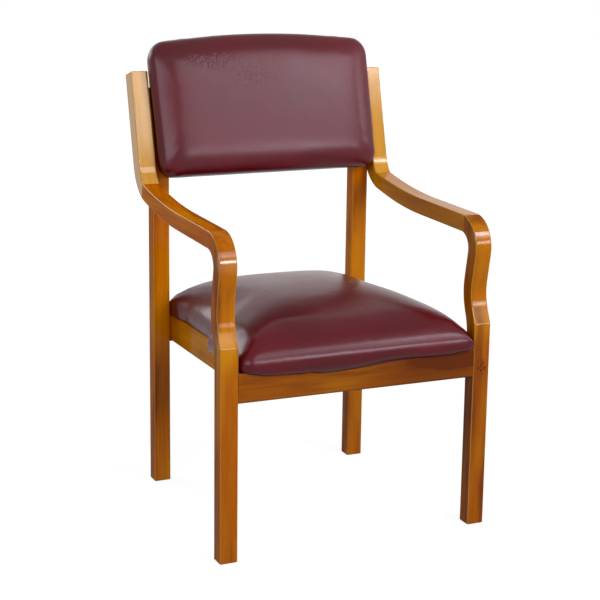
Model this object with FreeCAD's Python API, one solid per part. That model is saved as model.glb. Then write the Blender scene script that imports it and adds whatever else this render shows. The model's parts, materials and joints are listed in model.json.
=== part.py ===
import FreeCAD, Part
import math
import os
from FreeCAD import Placement, Rotation, Vector

# Wooden armchair: two side frames sawn from board in flowing curves, a box seat frame between
# them, two back legs, and a padded seat and back covered in vinyl.
# Units are millimetres. X runs across the chair, -Y is the front and Z is up.
# While the pieces are drawn, Y = 0 is the front face of the front legs. At the end the whole
# chair is moved so that the origin lies on the floor under the middle of its outline.

# Side frames: front leg, arm and back post, sawn from one thickness of board
overall_width = 600.0
frame_thickness = 38.0
edge_round = 3.0
end_chamfer = 1.5

# Front leg and the curved upright above it
leg_depth = 34.0
knee_height = 437.0
knee_round = 8.0
knee_depth = 33.0
recess_setback = 24.0
recess_rise = 57.0
recess_radius = 97.0
upright_depth = 33.0
upright_lean = 10.4
nose_height = 655.0
nose_radius = 65.0

# Arm
arm_front_rise = 1.85
arm_front_depth = 36.0
dip_setback = 345.0
dip_radius = 1250.0
arm_rear_rise = 11.8
arm_rear_depth = 34.0
crease_setback = 463.0

# Back post
post_lean = 14.7
post_depth = 42.0
post_top_setback = 536.0
post_top_height = 927.0
post_foot_angle = 45.0
post_foot_radius = 74.0

# Bends on the rear and lower outline of the side frame
rear_knee_radius = 108.0
rear_recess_radius = 132.0
elbow_radius = 32.0
under_arm_radius = 1000.0
heel_radius = 92.0

# Joints of the side frame: at the elbow, and at the crease where arm and post meet
elbow_joint_setback = 60.0
frame_dowel_diameter = 8.0
frame_dowel_length = 40.0
frame_dowel_spacing = 18.0
dowel_chamfer = 0.8

# Back legs, straight to the heel of the arm and then leaning with the post
back_leg_width = 38.0
back_leg_setback = 506.5
back_leg_depth = 33.0
back_leg_upper_depth = 30.0
back_leg_bend_radius = 100.0
back_leg_top_drop = 37.0

# Seat frame
rail_height = 61.0
rail_top = 386.0
front_rail_thickness = 22.0
front_rail_round = 6.0
rear_rail_thickness = 22.0
rear_rail_inset = 5.0
side_rail_thickness = 22.0
side_rail_gap = 6.5
rail_edge_round = 2.0
rail_dowel_diameter = 8.0
rail_dowel_length = 44.0
rail_dowel_pitch = 18.0
side_dowel_pitch = 38.0
side_dowel_length = 40.0
side_dowel_bite = 15.0

# Corner blocks of the seat frame and their screws
corner_block_leg = 56.0
corner_block_height = 40.0
corner_block_drop = 4.0
block_screw_diameter = 4.0
block_screw_head_diameter = 8.0
block_screw_head_height = 3.0
block_screw_setback = 35.0
block_screw_seat = 12.0
block_screw_bite = 14.0
block_screw_spread = 16.0

# Seat cushion: plywood board, foam and vinyl
seat_gap_to_leg = 2.0
seat_gap_to_back_leg = 3.0
seat_front_overhang = 14.0
seat_lip_drop = 10.0
seat_lip_rise = 12.0
seat_shoulder_setback = 205.0
seat_shoulder_length = 28.0
seat_rear_setback = 531.0
seat_side_height = 42.0
seat_crown_height = 103.0
cushion_corner_growth = 0.05
seat_corner_radius = 24.0
seat_shoulder_radius = 14.0
seat_board_thickness = 12.0
seat_board_margin = 5.0
seat_screw_diameter = 4.5
seat_screw_head_diameter = 9.0
seat_screw_head_height = 3.0
seat_screw_bite = 9.0
seat_screw_inset = 18.0
lining_thickness = 0.8
hem_width = 26.0
vinyl_thickness = 1.2

# Back cushion: plywood board, foam and vinyl, with a panel over the hem
pad_gap_to_post = 4.0
pad_above_post_top = 76.5
pad_height = 309.0
pad_front_reach = 46.0
pad_side_reach = 18.0
pad_rear_reach = 20.0
pad_bottom_radius = 31.0
pad_top_radius = 40.0
pad_arch_start = 70.0
pad_arch_fall = 16.0
pad_arch_blend = 63.7
pad_board_thickness = 12.0
pad_board_margin = 6.0
panel_thickness = 3.0
panel_margin = 12.0

# Fasteners of the back: bolts from back leg to post, screws from back leg to back board
frame_bolt_diameter = 6.0
frame_bolt_length = 54.0
frame_bolt_head_diameter = 15.0
frame_bolt_head_height = 2.5
frame_bolt_drop = 54.0
frame_bolt_pitch = 76.0
insert_diameter = 10.0
insert_length = 18.0
pad_screw_diameter = 5.0
pad_screw_head_diameter = 11.0
pad_screw_head_height = 2.5
pad_screw_bite = 9.0
pad_screw_drop = 22.0
pad_screw_pitch = 70.0

# Clearances
rest_clearance = 0.3
bore_clearance = 0.1
bore_end_room = 1.0

# Places worked out from the sizes above
half_width = overall_width / 2
frame_inner = half_width - frame_thickness
frame_middle = half_width - frame_thickness / 2
frame_dowel_offsets = (-frame_dowel_spacing / 2, frame_dowel_spacing / 2)
back_leg_inner = frame_inner - back_leg_width
back_leg_rear = back_leg_setback + back_leg_depth
back_leg_top_height = post_top_height - back_leg_top_drop
side_rail_outer = back_leg_inner - side_rail_gap
side_rail_inner = side_rail_outer - side_rail_thickness
rail_bottom = rail_top - rail_height
rail_middle = rail_top - rail_height / 2
rear_rail_front = back_leg_setback + rear_rail_inset
block_top = rail_top - corner_block_drop
block_bottom = block_top - corner_block_height
block_screw_length = block_screw_seat + block_screw_bite
seat_board_bottom = rail_top + vinyl_thickness
seat_screw_length = seat_board_bottom + seat_screw_bite - block_bottom
far = 2000.0
least_straight_share = 0.99


def direction(angle):
    """Unit vector in the side view, the angle measured up from straight back."""
    return (math.cos(math.radians(angle)), math.sin(math.radians(angle)))


def unit(a, b):
    length = math.hypot(a, b)
    return (a / length, b / length)


def cross_point(p, along_p, q, along_q):
    """Point where two lines of the side view meet."""
    determinant = along_p[0] * along_q[1] - along_p[1] * along_q[0]
    step = ((q[0] - p[0]) * along_q[1] - (q[1] - p[1]) * along_q[0]) / determinant
    return (p[0] + along_p[0] * step, p[1] + along_p[1] * step)


def moved_behind(p, along, depth):
    """Point moved square to a line, to the rear or underside of a piece drawn along it."""
    return (p[0] + along[1] * depth, p[1] - along[0] * depth)


def bend_reaches(corners):
    """How far each corner's arc reaches along its runs, drawn in where two arcs would meet."""
    reaches = []
    for i, (a, b, radius) in enumerate(corners):
        back, ahead = corner_runs(corners, i)
        half_corner = math.acos(back[0] * ahead[0] + back[1] * ahead[1]) / 2
        reaches.append(radius / math.tan(half_corner))
    limited = []
    for i, corner in enumerate(corners):
        share = 1.0
        for other in (i - 1, (i + 1) % len(corners)):
            room = math.dist(corner[:2], corners[other][:2]) * least_straight_share
            share = min(share, room / max(reaches[i] + reaches[other], room))
        limited.append(reaches[i] * share)
    return limited


def corner_runs(corners, i):
    """Unit vectors from a corner back along one run and ahead along the other."""
    a, b, radius = corners[i]
    last = corners[i - 1]
    following = corners[(i + 1) % len(corners)]
    return unit(last[0] - a, last[1] - b), unit(following[0] - a, following[1] - b)


def rounded_wire(corners, to_space):
    """Closed wire through corners (a, b, radius), each rounded by its radius where its runs allow."""
    bends = []
    for i, reach in enumerate(bend_reaches(corners)):
        a, b, radius = corners[i]
        back, ahead = corner_runs(corners, i)
        if reach > 0:
            half_corner = math.acos(back[0] * ahead[0] + back[1] * ahead[1]) / 2
            depth = reach / math.cos(half_corner) - reach * math.tan(half_corner)
            inward = unit(back[0] + ahead[0], back[1] + ahead[1])
            enter = to_space(a + back[0] * reach, b + back[1] * reach)
            middle = to_space(a + inward[0] * depth, b + inward[1] * depth)
            leave = to_space(a + ahead[0] * reach, b + ahead[1] * reach)
            bends.append((enter, middle, leave))
        else:
            bends.append((to_space(a, b), None, to_space(a, b)))
    edges = []
    for i, (enter, middle, leave) in enumerate(bends):
        edges.append(Part.LineSegment(bends[i - 1][2], enter).toShape())
        if middle is not None:
            edges.append(Part.Arc(enter, middle, leave).toShape())
    return Part.Wire(edges)


def side_board(corners, x_low, x_high):
    """Board cut to a side view outline, between two X planes."""
    wire = rounded_wire(corners, lambda y, z: Vector(x_low, y, z))
    return Part.Face(wire).extrude(Vector(x_high - x_low, 0, 0))


def box(x_low, x_high, y_low, y_high, z_low, z_high):
    return Part.makeBox(x_high - x_low, y_high - y_low, z_high - z_low, Vector(x_low, y_low, z_low))


def half_space(point, angle):
    """Everything behind a plane of the side view that is square to the given direction."""
    block = box(-far, far, 0, far, -far, far)
    block.Placement = Placement(Vector(0, *point), Rotation(Vector(1, 0, 0), angle))
    return block


def cut_plane(point, angle):
    """Test for an edge that lies in a cut of the side view."""
    normal = Vector(0, *direction(angle))
    origin = Vector(0, *point)
    return lambda edge: all(abs((vertex.Point - origin).dot(normal)) < 0.05 for vertex in edge.Vertexes)


def on_floor(edge):
    return edge.BoundBox.ZMax < 0.01


def outline_edges(shape, planes, ends):
    """Edges in one of the X planes of a board that don't lie in one of its cut ends."""
    found = []
    for edge in shape.Edges:
        low = edge.BoundBox.XMin
        high = edge.BoundBox.XMax
        in_plane = any(abs(low - x) < 0.01 and abs(high - x) < 0.01 for x in planes)
        if in_plane and not any(end(edge) for end in ends):
            found.append(edge)
    return found


def lower_edges(rail):
    """The two long edges under a rail, front or left one first."""
    lower = [edge for edge in rail.Edges if edge.BoundBox.ZMax < rail_bottom + 0.01]
    lower.sort(key=lambda edge: -edge.Length)
    return sorted(lower[:2], key=lambda edge: edge.CenterOfMass.x + edge.CenterOfMass.y)


def mirrored(shape):
    return shape.mirror(Vector(0, 0, 0), Vector(1, 0, 0))


def both_sides(solids):
    return Part.makeCompound(solids + [mirrored(solid) for solid in solids])


def rod(start, along, length, diameter):
    return Part.makeCylinder(diameter / 2, length, start, along)


def dowel(start, along, length, diameter):
    """Dowel with chamfered ends."""
    pin = rod(start, along, length, diameter)
    rims = [edge for edge in pin.Edges if isinstance(edge.Curve, Part.Circle)]
    return pin.makeChamfer(dowel_chamfer, rims)


def bore(start, along, length, diameter):
    """Hole for a rod, a little wider, with some room past both ends."""
    return rod(start - along * bore_end_room, along, length + 2 * bore_end_room, diameter + 2 * bore_clearance)


def screw(seat, along, length, diameter, head_diameter, head_height):
    """Screw or bolt whose head rests on the seat point and whose shank runs along."""
    shank = rod(seat, along, length, diameter)
    head = rod(seat, -along, head_height, head_diameter)
    rims = [edge for edge in head.Edges if isinstance(edge.Curve, Part.Circle)]
    top = min(rims, key=lambda edge: along.dot(edge.Curve.Center))
    return shank.fuse(head.makeChamfer(head_height * 0.4, [top]))


def drilled(shape, holes):
    for hole in holes:
        shape = shape.cut(hole)
    return shape


# Front and upper line of the side frame
level = (1.0, 0.0)
leg_along = (0.0, 1.0)
upright_along = direction(90 + upright_lean)
arm_front_along = direction(arm_front_rise)
arm_rear_along = direction(arm_rear_rise)
foot_along = direction(post_foot_angle)
post_along = direction(90 - post_lean)
knee = (0.0, knee_height)
recess = (recess_setback, knee_height + recess_rise)
knee_along = unit(recess[0] - knee[0], recess[1] - knee[1])
nose = cross_point(recess, upright_along, (0.0, nose_height), level)
dip = cross_point(nose, arm_front_along, (dip_setback, 0.0), leg_along)
crease = cross_point(dip, arm_rear_along, (crease_setback, 0.0), leg_along)
post_top = (post_top_setback, post_top_height)
post_blend = cross_point(crease, foot_along, post_top, post_along)

# Rear and lower line: each run lies one board depth behind its front line
leg_rear = moved_behind((0.0, 0.0), leg_along, leg_depth)
knee_rear = moved_behind(knee, knee_along, knee_depth)
upright_rear = moved_behind(recess, upright_along, upright_depth)
arm_front_under = moved_behind(nose, arm_front_along, arm_front_depth)
arm_rear_under = moved_behind(dip, arm_rear_along, arm_rear_depth)
post_rear = moved_behind(post_top, post_along, post_depth)
rear_knee = cross_point(leg_rear, leg_along, knee_rear, knee_along)
rear_recess = cross_point(knee_rear, knee_along, upright_rear, upright_along)
inner_elbow = cross_point(upright_rear, upright_along, arm_front_under, arm_front_along)
under_dip = cross_point(arm_front_under, arm_front_along, arm_rear_under, arm_rear_along)
heel = cross_point(arm_rear_under, arm_rear_along, post_rear, post_along)

# Line of the back leg's leaning part, just behind the back cushion
rest_line = moved_behind(post_top, post_along, pad_rear_reach + rest_clearance)


def post_line_point(height, behind):
    """Point beside the post, at a height on its front line and so far behind that line."""
    return moved_behind(cross_point(post_top, post_along, (0.0, height), level), post_along, behind)


def make_side_frame():
    """Left front leg, arm and post, split at the elbow and at the crease, before their holes."""
    planes = (-half_width, -frame_inner)
    outline = [
        (0.0, 0.0, 0.0),
        (*knee, knee_round),
        (*recess, recess_radius),
        (*nose, nose_radius),
        (*dip, dip_radius),
        (*crease, 0.0),
        (*post_blend, post_foot_radius),
        (*post_top, 0.0),
        (*post_rear, 0.0),
        (*heel, heel_radius),
        (*under_dip, under_arm_radius),
        (*inner_elbow, elbow_radius),
        (*rear_recess, rear_recess_radius),
        (*rear_knee, rear_knee_radius),
        (*leg_rear, 0.0),
    ]
    whole = side_board(outline, *planes)
    behind_elbow = half_space((elbow_joint_setback, 0.0), 0.0)
    behind_crease = half_space(crease, arm_rear_rise)
    leg = whole.cut(behind_elbow)
    arm = whole.common(behind_elbow).cut(behind_crease)
    post = whole.common(behind_crease)

    at_elbow = cut_plane((elbow_joint_setback, 0.0), 0.0)
    at_crease = cut_plane(crease, arm_rear_rise)
    at_post_top = cut_plane(post_top, 90 - post_lean)
    leg = leg.makeFillet(edge_round, outline_edges(leg, planes, (on_floor, at_elbow)))
    leg = leg.makeChamfer(end_chamfer, [edge for edge in leg.Edges if on_floor(edge)])
    arm = arm.makeFillet(edge_round, outline_edges(arm, planes, (at_elbow, at_crease)))
    post = post.makeFillet(edge_round, outline_edges(post, planes, (at_crease, at_post_top)))
    post = post.makeChamfer(end_chamfer, [edge for edge in post.Edges if at_post_top(edge)])
    return leg, arm, post


def make_back_leg():
    """Left back leg, leaning with the post above the heel of the arm, before its holes."""
    planes = (-frame_inner, -back_leg_inner)
    rear_line = moved_behind(rest_line, post_along, back_leg_upper_depth)
    top_front = cross_point(rest_line, post_along, (0.0, back_leg_top_height), level)
    outline = [
        (back_leg_setback, 0.0, 0.0),
        (*cross_point((back_leg_setback, 0.0), leg_along, rest_line, post_along), back_leg_bend_radius),
        (*top_front, 0.0),
        (*moved_behind(top_front, post_along, back_leg_upper_depth), 0.0),
        (*cross_point((back_leg_rear, 0.0), leg_along, rear_line, post_along), back_leg_bend_radius),
        (back_leg_rear, 0.0, 0.0),
    ]
    leg = side_board(outline, *planes)
    at_top = cut_plane(top_front, 90 - post_lean)
    leg = leg.makeFillet(edge_round, outline_edges(leg, planes, (on_floor, at_top)))
    return leg.makeChamfer(end_chamfer, [edge for edge in leg.Edges if on_floor(edge) or at_top(edge)])


def elbow_dowel_places():
    """Start points and direction of the two dowels through the left elbow joint."""
    under = cross_point(arm_front_under, arm_front_along, (elbow_joint_setback, 0.0), leg_along)
    start = elbow_joint_setback - frame_dowel_length / 2
    height = under[1] + arm_front_depth / 2
    return [(Vector(-frame_middle + offset, start, height), Vector(0, 1, 0)) for offset in frame_dowel_offsets]


def crease_dowel_places():
    """Start points and direction of the two dowels through the left joint of arm and post."""
    along = Vector(0, *arm_rear_along)
    middle = Vector(-frame_middle, *moved_behind(crease, arm_rear_along, arm_rear_depth / 2))
    start = middle - along * (frame_dowel_length / 2)
    return [(start + Vector(offset, 0, 0), along) for offset in frame_dowel_offsets]


def cross_rail_dowel_places(end_x, middle_y):
    """Dowels along X through the left end of a rail that runs across the chair."""
    start = -end_x - rail_dowel_length / 2
    heights = (rail_middle - rail_dowel_pitch / 2, rail_middle + rail_dowel_pitch / 2)
    return [(Vector(start, middle_y, height), Vector(1, 0, 0)) for height in heights]


def side_rail_dowel_places():
    """Dowels along Y through both ends of the left side rail."""
    x = -(side_rail_inner + side_rail_outer) / 2
    places = []
    for height in (rail_middle - side_dowel_pitch / 2, rail_middle + side_dowel_pitch / 2):
        places.append((Vector(x, front_rail_thickness - side_dowel_bite, height), Vector(0, 1, 0)))
        places.append((Vector(x, rear_rail_front + side_dowel_bite, height), Vector(0, -1, 0)))
    return places


def make_front_rail():
    """Rail between the front legs, its lower front edge rounded more than its rear one."""
    rail = box(-frame_inner, frame_inner, 0, front_rail_thickness, rail_bottom, rail_top)
    front_edge, _ = lower_edges(rail)
    rail = rail.makeFillet(front_rail_round, [front_edge])
    rear_edge = lower_edges(rail)[-1]
    return rail.makeFillet(rail_edge_round, [rear_edge])


def make_rear_rail():
    rear = rear_rail_front + rear_rail_thickness
    rail = box(-back_leg_inner, back_leg_inner, rear_rail_front, rear, rail_bottom, rail_top)
    return rail.makeFillet(rail_edge_round, lower_edges(rail))


def make_side_rail():
    """Left side rail, from the front rail to the rear rail."""
    rail = box(-side_rail_outer, -side_rail_inner, front_rail_thickness, rear_rail_front, rail_bottom, rail_top)
    return rail.makeFillet(rail_edge_round, lower_edges(rail))


class Corner:
    """Left inner corner of the seat frame, with its block and screws."""

    def __init__(self, y, sense):
        self.origin = Vector(-side_rail_inner, y, 0)
        self.inward = Vector(1, 0, 0)
        self.along = Vector(0, sense, 0)

    def point(self, inward, along, z):
        return self.origin + self.inward * inward + self.along * along + Vector(0, 0, z)

    def block_screws(self):
        """Seat point and direction of the screws into the side rail and into the cross rail."""
        middle = block_bottom + corner_block_height / 2
        low = middle - block_screw_spread / 2
        high = middle + block_screw_spread / 2
        into_side = (self.point(block_screw_seat, block_screw_setback, low), -self.inward)
        into_cross = (self.point(block_screw_setback, block_screw_seat, high), -self.along)
        return [into_side, into_cross]

    def seat_screw(self):
        """Seat point and direction of the screw that holds the seat board."""
        return (self.point(seat_screw_inset, seat_screw_inset, block_bottom), Vector(0, 0, 1))

    def block(self):
        """Triangular block with its screw holes."""
        triangle = [
            self.point(0, 0, block_bottom),
            self.point(corner_block_leg, 0, block_bottom),
            self.point(0, corner_block_leg, block_bottom),
        ]
        base = Part.Face(Part.makePolygon(triangle + triangle[:1]))
        shape = base.extrude(Vector(0, 0, corner_block_height))
        for seat, along in self.block_screws():
            shape = shape.cut(rod(seat, -along, corner_block_leg, block_screw_head_diameter + 2 * bore_clearance))
            shape = shape.cut(bore(seat, along, block_screw_length, block_screw_diameter))
        seat, along = self.seat_screw()
        return shape.cut(bore(seat, along, seat_screw_length, seat_screw_diameter))


def seat_outline(inset, front_inset, rear_inset, shoulder_shift, fade, z):
    """Plan of the seat cushion at one height, wide between the front legs and narrow behind."""
    wide = frame_inner - seat_gap_to_leg - inset
    narrow = back_leg_inner - seat_gap_to_back_leg - inset
    narrow = narrow + (wide - narrow) * fade
    front = front_inset - seat_front_overhang
    rear = seat_rear_setback - rear_inset
    shoulder = seat_shoulder_setback + shoulder_shift
    shoulder = shoulder + ((front + rear) / 2 - shoulder) * fade
    corner = seat_corner_radius + inset * cushion_corner_growth
    right_side = [
        (wide, front, corner),
        (wide, shoulder - seat_shoulder_length / 2, seat_shoulder_radius),
        (narrow, shoulder + seat_shoulder_length / 2, seat_shoulder_radius),
        (narrow, rear, corner),
    ]
    left_side = [(-x, y, radius) for x, y, radius in reversed(right_side)]
    return rounded_wire(right_side + left_side, lambda x, y: Vector(x, y, z))


def seat_form(skin):
    """Crowned outer form of the seat cushion, drawn in all round by the skin's thickness."""
    low = rail_top - seat_lip_drop + skin
    side = rail_top + seat_side_height
    crown = seat_crown_height - seat_side_height - skin
    # Each section: inset at the sides, front and rear, shift of the shoulders, their fading, height
    sections = [
        (4.0, 4.0, 4.0, -24.0, 0.0, low),
        (1.0, 0.5, 1.0, -12.0, 0.0, rail_top + 3.0 + skin),
        (0.0, 0.0, 2.0, 0.0, 0.0, rail_top + seat_side_height * 0.45),
        (8.0, 9.0, 13.0, 0.0, 0.05, side),
        (27.0, 25.0, 30.0, 0.0, 0.12, side + crown * 0.31),
        (54.0, 55.0, 62.0, 0.0, 0.25, side + crown * 0.57),
        (80.0, 84.0, 87.0, 0.0, 0.45, side + crown * 0.77),
        (128.0, 140.0, 108.0, 0.0, 0.65, side + crown * 0.92),
        (150.0, 175.0, 170.0, 0.0, 0.80, side + crown),
    ]
    wires = []
    for inset, front, rear, shift, fade, z in sections:
        wires.append(seat_outline(inset + skin, front + skin, rear + skin, shift, fade, z))
    form = Part.makeLoft(wires, True, True)
    over_rails = box(-far, far, -rest_clearance - skin, far, 0, rail_top + skin)
    lip_radius = (frame_inner ** 2 + seat_lip_rise ** 2) / (2 * seat_lip_rise)
    lip_arch = rod(Vector(0, -far, low + lip_radius), Vector(0, 1, 0), 2 * far, 2 * lip_radius)
    return form.cut(over_rails).common(lip_arch)


def seat_plate(margin, low, high):
    """Flat plate with the cushion's plan, held back by a margin, behind the front rail's face."""
    wire = seat_outline(margin, seat_front_overhang + margin, margin, -14.0, 0.0, low)
    return Part.Face(wire).extrude(Vector(0, 0, high - low))


def pad_space(x, up, out):
    """Point on the back cushion: across, up along its lean, and out from the posts' front."""
    rise = pad_above_post_top - pad_height + up
    on_line = (post_top[0] + post_along[0] * rise, post_top[1] + post_along[1] * rise)
    return Vector(x, *moved_behind(on_line, post_along, -out))


def pad_outline(inset, out):
    """Front view of the back cushion, square below and arched above, at one distance out."""
    full = frame_inner - pad_gap_to_post
    wide = full - inset
    share = wide / full
    arch = pad_arch_start * share
    top = pad_height - inset
    shoulder = top - pad_arch_fall * share
    arch_turn = math.atan2(pad_arch_fall, full - pad_arch_start)
    arch_radius = pad_arch_blend * share / math.tan(arch_turn / 2)
    corners = [
        (-wide, inset, pad_bottom_radius + inset * cushion_corner_growth),
        (wide, inset, pad_bottom_radius + inset * cushion_corner_growth),
        (wide, shoulder, pad_top_radius + inset * cushion_corner_growth),
        (arch, top, arch_radius),
        (-arch, top, arch_radius),
        (-wide, shoulder, pad_top_radius + inset * cushion_corner_growth),
    ]
    return rounded_wire(corners, lambda x, up: pad_space(x, up, out))


def pad_form(skin):
    """Crowned outer form of the back cushion, drawn in all round by the skin's thickness."""
    crown = pad_front_reach - pad_side_reach - skin
    # Each section: inset, distance out from the posts' front
    sections = [
        (5.0, pad_rear + skin),
        (0.8, pad_rear + 4.0 + skin),
        (0.0, pad_rear + 12.0 + skin),
        (0.0, pad_side_reach),
        (5.0, pad_side_reach + crown * 0.45),
        (15.0, pad_side_reach + crown * 0.74),
        (34.0, pad_side_reach + crown * 0.90),
        (60.0, pad_side_reach + crown * 0.98),
        (92.0, pad_side_reach + crown),
    ]
    return Part.makeLoft([pad_outline(skin + inset, out) for inset, out in sections], True, True)


def pad_plate(margin, rear, thickness):
    """Flat plate with the back cushion's outline, held back by a margin."""
    return Part.Face(pad_outline(margin, rear)).extrude(pad_out * thickness)


# Left bolts and screws of the back, from the back leg
outward = Vector(-1, 0, 0)
pad_out = Vector(0, -post_along[1], post_along[0])
pad_rear = panel_thickness - pad_rear_reach
bolt_behind = (pad_rear_reach + rest_clearance + post_depth) / 2
bolt_height = back_leg_top_height - frame_bolt_drop
bolt_heights = (bolt_height, bolt_height - frame_bolt_pitch)
bolt_seats = [Vector(-back_leg_inner, *post_line_point(height, bolt_behind)) for height in bolt_heights]
insert_seats = [seat + outward * back_leg_width for seat in bolt_seats]
screw_behind = pad_rear_reach + rest_clearance + back_leg_upper_depth
screw_height = back_leg_top_height - pad_screw_drop
screw_heights = (screw_height, screw_height - pad_screw_pitch)
screw_x = -(frame_inner + back_leg_inner) / 2
screw_seats = [Vector(screw_x, *post_line_point(height, screw_behind)) for height in screw_heights]
pad_screw_length = back_leg_upper_depth + rest_clearance + panel_thickness + vinyl_thickness + pad_screw_bite


def make_insert(start):
    """Threaded sleeve in the post's inner face, its thread left plain."""
    sleeve = rod(start, outward, insert_length, insert_diameter)
    return sleeve.cut(bore(start, outward, insert_length, frame_bolt_diameter))


# Dowels and screws of the left side, and their holes
elbow_places = elbow_dowel_places()
crease_places = crease_dowel_places()
front_places = cross_rail_dowel_places(frame_inner, front_rail_thickness / 2)
rear_places = cross_rail_dowel_places(back_leg_inner, rear_rail_front + rear_rail_thickness / 2)
side_places = side_rail_dowel_places()
corners = [Corner(front_rail_thickness, 1), Corner(rear_rail_front, -1)]
block_places = [place for corner in corners for place in corner.block_screws()]
seat_places = [corner.seat_screw() for corner in corners]
insert_hole = insert_diameter + 2 * bore_clearance
insert_bores = [rod(seat, outward, insert_length + bore_end_room, insert_hole) for seat in insert_seats]
elbow_bores = [bore(*place, frame_dowel_length, frame_dowel_diameter) for place in elbow_places]
crease_bores = [bore(*place, frame_dowel_length, frame_dowel_diameter) for place in crease_places]
front_bores = [bore(*place, rail_dowel_length, rail_dowel_diameter) for place in front_places]
rear_bores = [bore(*place, rail_dowel_length, rail_dowel_diameter) for place in rear_places]
side_bores = [bore(*place, side_dowel_length, rail_dowel_diameter) for place in side_places]
block_bores = [bore(*place, block_screw_length, block_screw_diameter) for place in block_places]
seat_bores = [bore(*place, seat_screw_length, seat_screw_diameter) for place in seat_places]
bolt_bores = [bore(seat, outward, frame_bolt_length, frame_bolt_diameter) for seat in bolt_seats]
pad_bores = [bore(seat, pad_out, pad_screw_length, pad_screw_diameter) for seat in screw_seats]

parts = {}


def add_pair(name, left):
    parts[name + "_left"] = left
    parts[name + "_right"] = mirrored(left)


def add_dowels(name, places, length, diameter):
    parts[name] = both_sides([dowel(*place, length, diameter) for place in places])


# Side frames and back legs
leg, arm, post = make_side_frame()
add_pair("front_leg", drilled(leg, elbow_bores + front_bores))
add_pair("armrest", drilled(arm, elbow_bores + crease_bores))
add_pair("back_post", drilled(post, crease_bores + insert_bores + bolt_bores))
add_pair("rear_leg", drilled(make_back_leg(), rear_bores + bolt_bores + pad_bores))

# Seat frame
rail_bores = side_bores + block_bores
parts["front_rail"] = drilled(make_front_rail(), both_sides(front_bores + rail_bores).Solids)
parts["rear_rail"] = drilled(make_rear_rail(), both_sides(rear_bores + rail_bores).Solids)
add_pair("side_rail", drilled(make_side_rail(), rail_bores))
parts["corner_blocks"] = both_sides([corner.block() for corner in corners])

# Dowels
add_dowels("arm_front_dowels", elbow_places, frame_dowel_length, frame_dowel_diameter)
add_dowels("arm_rear_dowels", crease_places, frame_dowel_length, frame_dowel_diameter)
add_dowels("front_rail_dowels", front_places, rail_dowel_length, rail_dowel_diameter)
add_dowels("rear_rail_dowels", rear_places, rail_dowel_length, rail_dowel_diameter)
add_dowels("side_rail_dowels", side_places, side_dowel_length, rail_dowel_diameter)

# Seat cushion: vinyl with a hem under the board, foam, board and a cloth in the hem's opening
seat_holes = both_sides(seat_bores).Solids
seat_stuffing = seat_form(vinyl_thickness)
seat_board = seat_plate(seat_board_margin, seat_board_bottom, seat_board_bottom + seat_board_thickness)
hem_opening = seat_plate(hem_width, rail_top - bore_end_room, seat_board_bottom)
lining = seat_plate(hem_width + rest_clearance, seat_board_bottom - lining_thickness, seat_board_bottom)
parts["seat_cover"] = seat_form(0.0).cut(seat_stuffing).cut(hem_opening)
parts["seat_foam"] = seat_stuffing.cut(seat_board)
parts["seat_board"] = drilled(seat_board, seat_holes)
parts["seat_underlining"] = drilled(lining, seat_holes)

# Back cushion: the same, with a panel over the hem
pad_holes = both_sides(pad_bores).Solids
pad_stuffing = pad_form(vinyl_thickness)
back_board = pad_plate(pad_board_margin, pad_rear + vinyl_thickness, pad_board_thickness)
pad_opening = pad_plate(hem_width, pad_rear - bore_end_room, vinyl_thickness + bore_end_room)
back_panel = pad_plate(panel_margin, -pad_rear_reach, panel_thickness)
parts["back_cover"] = drilled(pad_form(0.0).cut(pad_stuffing).cut(pad_opening), pad_holes)
parts["back_foam"] = pad_stuffing.cut(back_board)
parts["back_board"] = drilled(back_board, pad_holes)
parts["back_panel"] = drilled(back_panel, pad_holes)

# Screws, bolts and inserts
block_screw = (block_screw_length, block_screw_diameter, block_screw_head_diameter, block_screw_head_height)
seat_screw = (seat_screw_length, seat_screw_diameter, seat_screw_head_diameter, seat_screw_head_height)
pad_screw = (pad_screw_length, pad_screw_diameter, pad_screw_head_diameter, pad_screw_head_height)
frame_bolt = (frame_bolt_length, frame_bolt_diameter, frame_bolt_head_diameter, frame_bolt_head_height)
parts["corner_block_screws"] = both_sides([screw(*place, *block_screw) for place in block_places])
parts["seat_screws"] = both_sides([screw(*place, *seat_screw) for place in seat_places])
parts["back_screws"] = both_sides([screw(seat, pad_out, *pad_screw) for seat in screw_seats])
parts["frame_bolts"] = both_sides([screw(seat, outward, *frame_bolt) for seat in bolt_seats])
parts["frame_inserts"] = both_sides([make_insert(seat) for seat in insert_seats])

# Put the origin on the floor under the middle of the outline
reach = Part.makeCompound([parts["seat_cover"], parts["back_post_left"]]).optimalBoundingBox(False, False)
to_origin = Vector(0, -(reach.YMin + reach.YMax) / 2, 0)
print("moved by", round(to_origin.y, 3), "depth", round(reach.YLength, 2))
os.makedirs("parts", exist_ok=True)
for name, shape in parts.items():
    shape.translate(to_origin)
    shape.exportStep("parts/" + name + ".step")
    print(name, len(shape.Solids), shape.isValid(), round(shape.Volume / 1000, 1), "cm3")
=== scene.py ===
import json
import math

import bmesh
import bpy
import numpy
from mathutils import Matrix, Vector

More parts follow.
